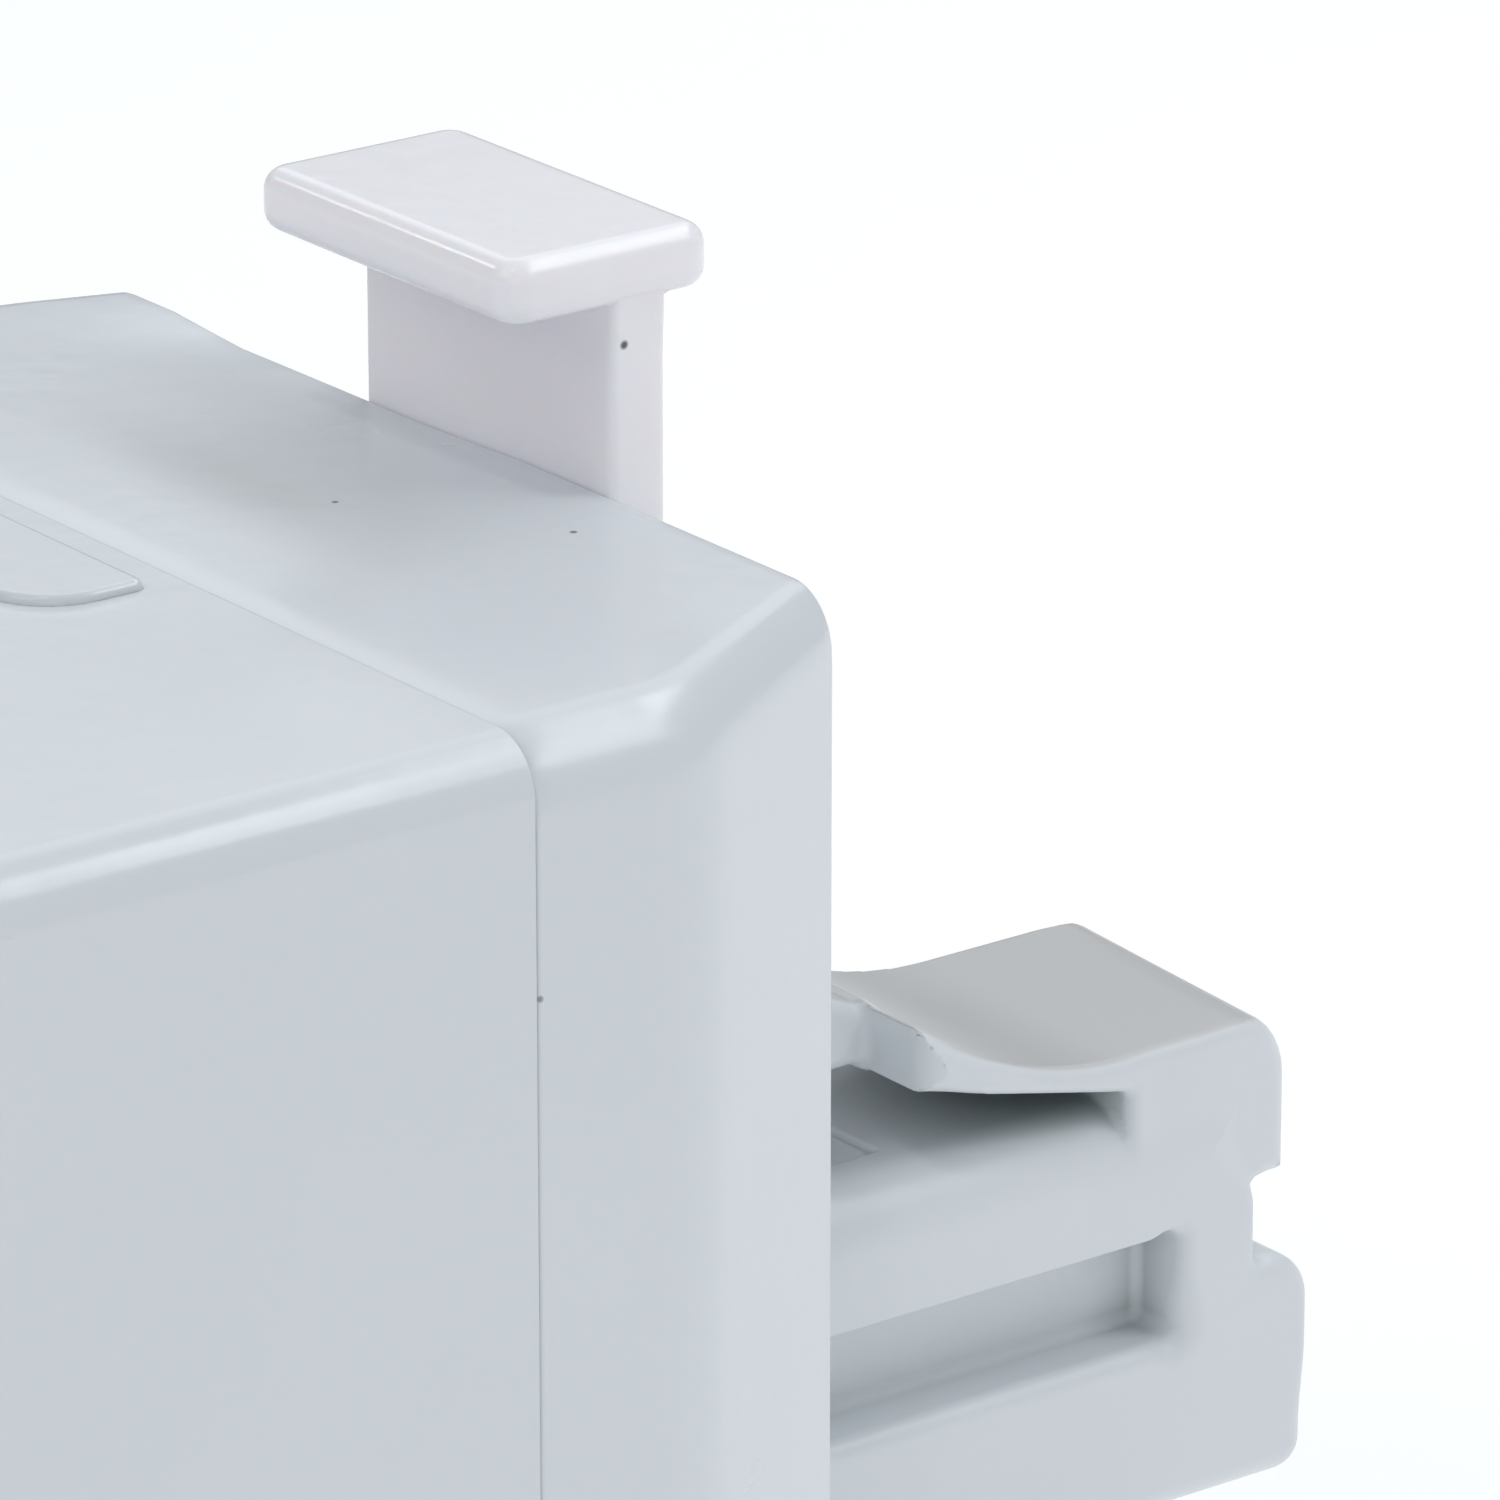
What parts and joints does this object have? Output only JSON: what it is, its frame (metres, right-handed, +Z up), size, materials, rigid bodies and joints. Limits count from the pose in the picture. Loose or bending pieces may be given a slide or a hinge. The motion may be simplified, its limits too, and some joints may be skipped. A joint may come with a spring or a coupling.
{
  "type": "stair gate latch",
  "caption": "Stair gate top latch: two-shell housing, press-down T tab, thumb button, and a tongue with a snap arm on top.",
  "frame": {"origin": "centre of the stile socket's mouth, at the underside of the housing", "axes": "+Z up along the gate's closing stile; +Y from the front shell towards the tongue's end, the way the gate closes; +X to the side, with X = 0 halving the T tab and the tongue"},
  "size_m": [0.0866, 0.1213, 0.1114],
  "materials": {
    "shell": "glossy white moulded ABS",
    "moving_plastic": "glossy white moulded acetal",
    "inner_plastic": "satin grey glass-filled nylon",
    "steel": "zinc-plated",
    "brass": "knurled, turned"
  },
  "bodies": {
    "housing": {"front_cover": "shell", "rear_housing": "shell", "slide_guide": "shell", "slide_guide_screws": "steel", "spring_seat": "inner_plastic", "seat_screws": "steel", "spring_rod": "steel", "rod_clip": "steel", "return_spring": "steel", "latch_tongue": "moving_plastic", "tongue_screws": "steel", "bolt_guide": "inner_plastic", "bolt_guide_lid": "inner_plastic", "guide_screws": "steel", "button_springs": "steel", "cover_screws": "steel", "cover_inserts": "brass", "base_plate": "shell", "base_screws": "steel", "stile_socket": "inner_plastic", "socket_screws": "steel", "clamp_nut": "steel", "clamp_screw": "steel", "screw_plug": "shell"},
    "release_slide": {"release_slide": "moving_plastic"},
    "snap_arm": {"snap_arm": "moving_plastic"},
    "thumb_button": {"thumb_button": "moving_plastic"},
    "lock_bolt": {"lock_bolt": "inner_plastic"}
  },
  "joints": [
    {"name": "slide_press", "type": "slide", "parent": "housing", "child": "release_slide", "axis": [0, 0, -1], "range_m": [0, 0.011], "stiffness_N_per_m": 300, "springref_m": -0.01, "deforming": ["return_spring"]},
    {"name": "arm_flex", "type": "hinge", "parent": "housing", "child": "snap_arm", "pos_m": [0, 0.0735, 0.0493], "axis": [1, 0, 0], "range_deg": [0, 17]},
    {"name": "button_press", "type": "slide", "parent": "housing", "child": "thumb_button", "axis": [0, 0, -1], "range_m": [0, 0.003], "stiffness_N_per_m": 250, "springref_m": -0.004, "deforming": ["button_springs"]},
    {"name": "bolt_slide", "type": "slide", "parent": "housing", "child": "lock_bolt", "axis": [0, -1, 0], "range_m": [0, 0.003]}
  ],
  "couplings": [
    {"joint": "arm_flex", "follows": "slide_press", "rad_per_m": 26.5},
    {"joint": "bolt_slide", "follows": "button_press", "ratio": 1}
  ]
}
